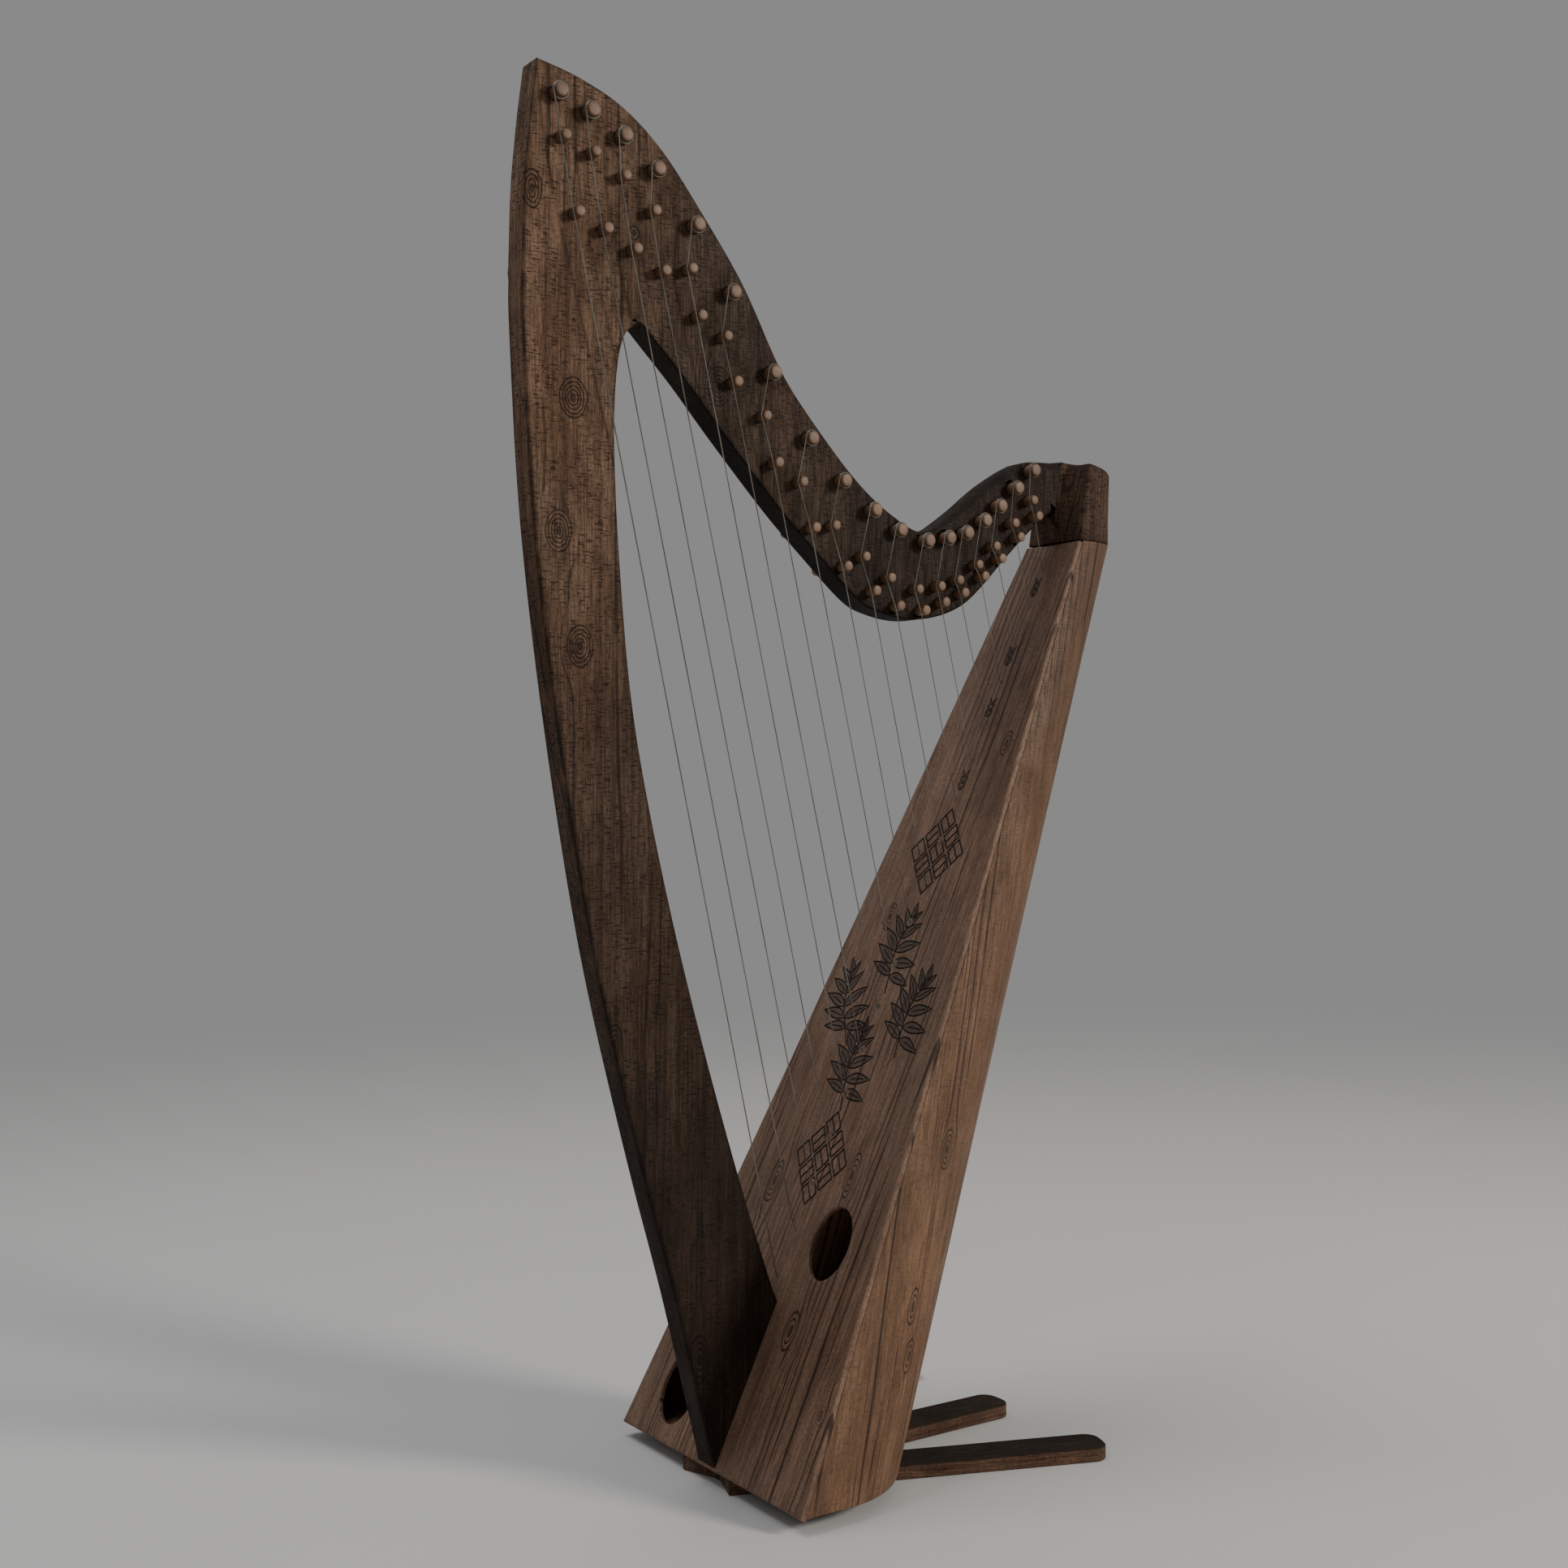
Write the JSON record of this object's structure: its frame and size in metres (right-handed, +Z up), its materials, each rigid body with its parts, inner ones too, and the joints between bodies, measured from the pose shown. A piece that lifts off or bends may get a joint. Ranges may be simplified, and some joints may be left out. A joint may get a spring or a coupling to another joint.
{
  "type": "celtic harp",
  "caption": "Small floor-standing celtic harp: curved pillar and neck boards, tapering D-backed sound box with holes, round tuning pegs that turn, strings and a splayed wooden stand.",
  "frame": {"origin": "on the floor, under the underside of the middle leg of the stand", "axes": "+X towards the player, away from the pillar; +Z up; Y = 0 halves the sound box, neck and pillar, and the strings are on the -Y side of the neck"},
  "size_m": [0.6253, 0.299, 1.15],
  "materials": {
    "dark_wood": "satin",
    "box_wood": "satin",
    "inner_wood": "matte",
    "peg_wood": "satin",
    "string": "gloss",
    "steel": "satin"
  },
  "bodies": {
    "harp_body": {"pillar": "dark_wood", "neck": "dark_wood", "shoulder_block": "dark_wood", "soundboard": "box_wood", "box_back": "box_wood", "bottom_board": "inner_wood", "toe_block": "inner_wood", "top_block": "inner_wood", "string_rib": "inner_wood", "lower_brace": "inner_wood", "upper_brace": "inner_wood", "middle_leg": "dark_wood", "near_leg": "dark_wood", "far_leg": "dark_wood", "middle_leg_screw": "steel", "near_leg_screw": "steel", "far_leg_screw": "steel", "pillar_bolt": "steel", "neck_dowel_front": "peg_wood", "neck_dowel_rear": "peg_wood", "neck_tenon": "peg_wood", "block_dowel_near": "peg_wood", "block_dowel_far": "peg_wood", "string_01": "string", "string_02": "string", "string_03": "string", "string_04": "string", "string_05": "string", "string_06": "string", "string_07": "string", "string_08": "string", "string_09": "string", "string_10": "string", "string_11": "string", "string_12": "string", "string_13": "string", "string_14": "string", "string_15": "string", "string_16": "string", "string_17": "string", "string_18": "string"},
    "peg_01": {"tuning_peg_01": "peg_wood"},
    "peg_02": {"tuning_peg_02": "peg_wood"},
    "peg_03": {"tuning_peg_03": "peg_wood"},
    "peg_04": {"tuning_peg_04": "peg_wood"},
    "peg_05": {"tuning_peg_05": "peg_wood"},
    "peg_06": {"tuning_peg_06": "peg_wood"},
    "peg_07": {"tuning_peg_07": "peg_wood"},
    "peg_08": {"tuning_peg_08": "peg_wood"},
    "peg_09": {"tuning_peg_09": "peg_wood"},
    "peg_10": {"tuning_peg_10": "peg_wood"},
    "peg_11": {"tuning_peg_11": "peg_wood"},
    "peg_12": {"tuning_peg_12": "peg_wood"},
    "peg_13": {"tuning_peg_13": "peg_wood"},
    "peg_14": {"tuning_peg_14": "peg_wood"},
    "peg_15": {"tuning_peg_15": "peg_wood"},
    "peg_16": {"tuning_peg_16": "peg_wood"},
    "peg_17": {"tuning_peg_17": "peg_wood"},
    "peg_18": {"tuning_peg_18": "peg_wood"}
  },
  "joints": [
    {"name": "peg_01_turn", "type": "hinge", "parent": "harp_body", "child": "peg_01", "pos_m": [-0.2825, 0, 1.125], "axis": [0, 1, 0], "range_deg": [-900, 60]},
    {"name": "peg_02_turn", "type": "hinge", "parent": "harp_body", "child": "peg_02", "pos_m": [-0.25412, 0, 1.11525], "axis": [0, 1, 0], "range_deg": [-900, 60]},
    {"name": "peg_03_turn", "type": "hinge", "parent": "harp_body", "child": "peg_03", "pos_m": [-0.2245, 0, 1.101], "axis": [0, 1, 0], "range_deg": [-900, 60]},
    {"name": "peg_04_turn", "type": "hinge", "parent": "harp_body", "child": "peg_04", "pos_m": [-0.194, 0, 1.07969], "axis": [0, 1, 0], "range_deg": [-900, 60]},
    {"name": "peg_05_turn", "type": "hinge", "parent": "harp_body", "child": "peg_05", "pos_m": [-0.1565, 0, 1.041], "axis": [0, 1, 0], "range_deg": [-900, 60]},
    {"name": "peg_06_turn", "type": "hinge", "parent": "harp_body", "child": "peg_06", "pos_m": [-0.12124, 0, 0.99089], "axis": [0, 1, 0], "range_deg": [-900, 60]},
    {"name": "peg_07_turn", "type": "hinge", "parent": "harp_body", "child": "peg_07", "pos_m": [-0.08087, 0, 0.92933], "axis": [0, 1, 0], "range_deg": [-900, 60]},
    {"name": "peg_08_turn", "type": "hinge", "parent": "harp_body", "child": "peg_08", "pos_m": [-0.0425, 0, 0.878], "axis": [0, 1, 0], "range_deg": [-900, 60]},
    {"name": "peg_09_turn", "type": "hinge", "parent": "harp_body", "child": "peg_09", "pos_m": [-0.00765, 0, 0.845], "axis": [0, 1, 0], "range_deg": [-900, 60]},
    {"name": "peg_10_turn", "type": "hinge", "parent": "harp_body", "child": "peg_10", "pos_m": [0.0252, 0, 0.82222], "axis": [0, 1, 0], "range_deg": [-900, 60]},
    {"name": "peg_11_turn", "type": "hinge", "parent": "harp_body", "child": "peg_11", "pos_m": [0.0535, 0, 0.807], "axis": [0, 1, 0], "range_deg": [-900, 60]},
    {"name": "peg_12_turn", "type": "hinge", "parent": "harp_body", "child": "peg_12", "pos_m": [0.08438, 0, 0.79988], "axis": [0, 1, 0], "range_deg": [-900, 60]},
    {"name": "peg_13_turn", "type": "hinge", "parent": "harp_body", "child": "peg_13", "pos_m": [0.1085, 0, 0.804], "axis": [0, 1, 0], "range_deg": [-900, 60]},
    {"name": "peg_14_turn", "type": "hinge", "parent": "harp_body", "child": "peg_14", "pos_m": [0.12925, 0, 0.81013], "axis": [0, 1, 0], "range_deg": [-900, 60]},
    {"name": "peg_15_turn", "type": "hinge", "parent": "harp_body", "child": "peg_15", "pos_m": [0.1505, 0, 0.823], "axis": [0, 1, 0], "range_deg": [-900, 60]},
    {"name": "peg_16_turn", "type": "hinge", "parent": "harp_body", "child": "peg_16", "pos_m": [0.16891, 0, 0.83763], "axis": [0, 1, 0], "range_deg": [-900, 60]},
    {"name": "peg_17_turn", "type": "hinge", "parent": "harp_body", "child": "peg_17", "pos_m": [0.1892, 0, 0.85581], "axis": [0, 1, 0], "range_deg": [-900, 60]},
    {"name": "peg_18_turn", "type": "hinge", "parent": "harp_body", "child": "peg_18", "pos_m": [0.2095, 0, 0.874], "axis": [0, 1, 0], "range_deg": [-900, 60]}
  ]
}
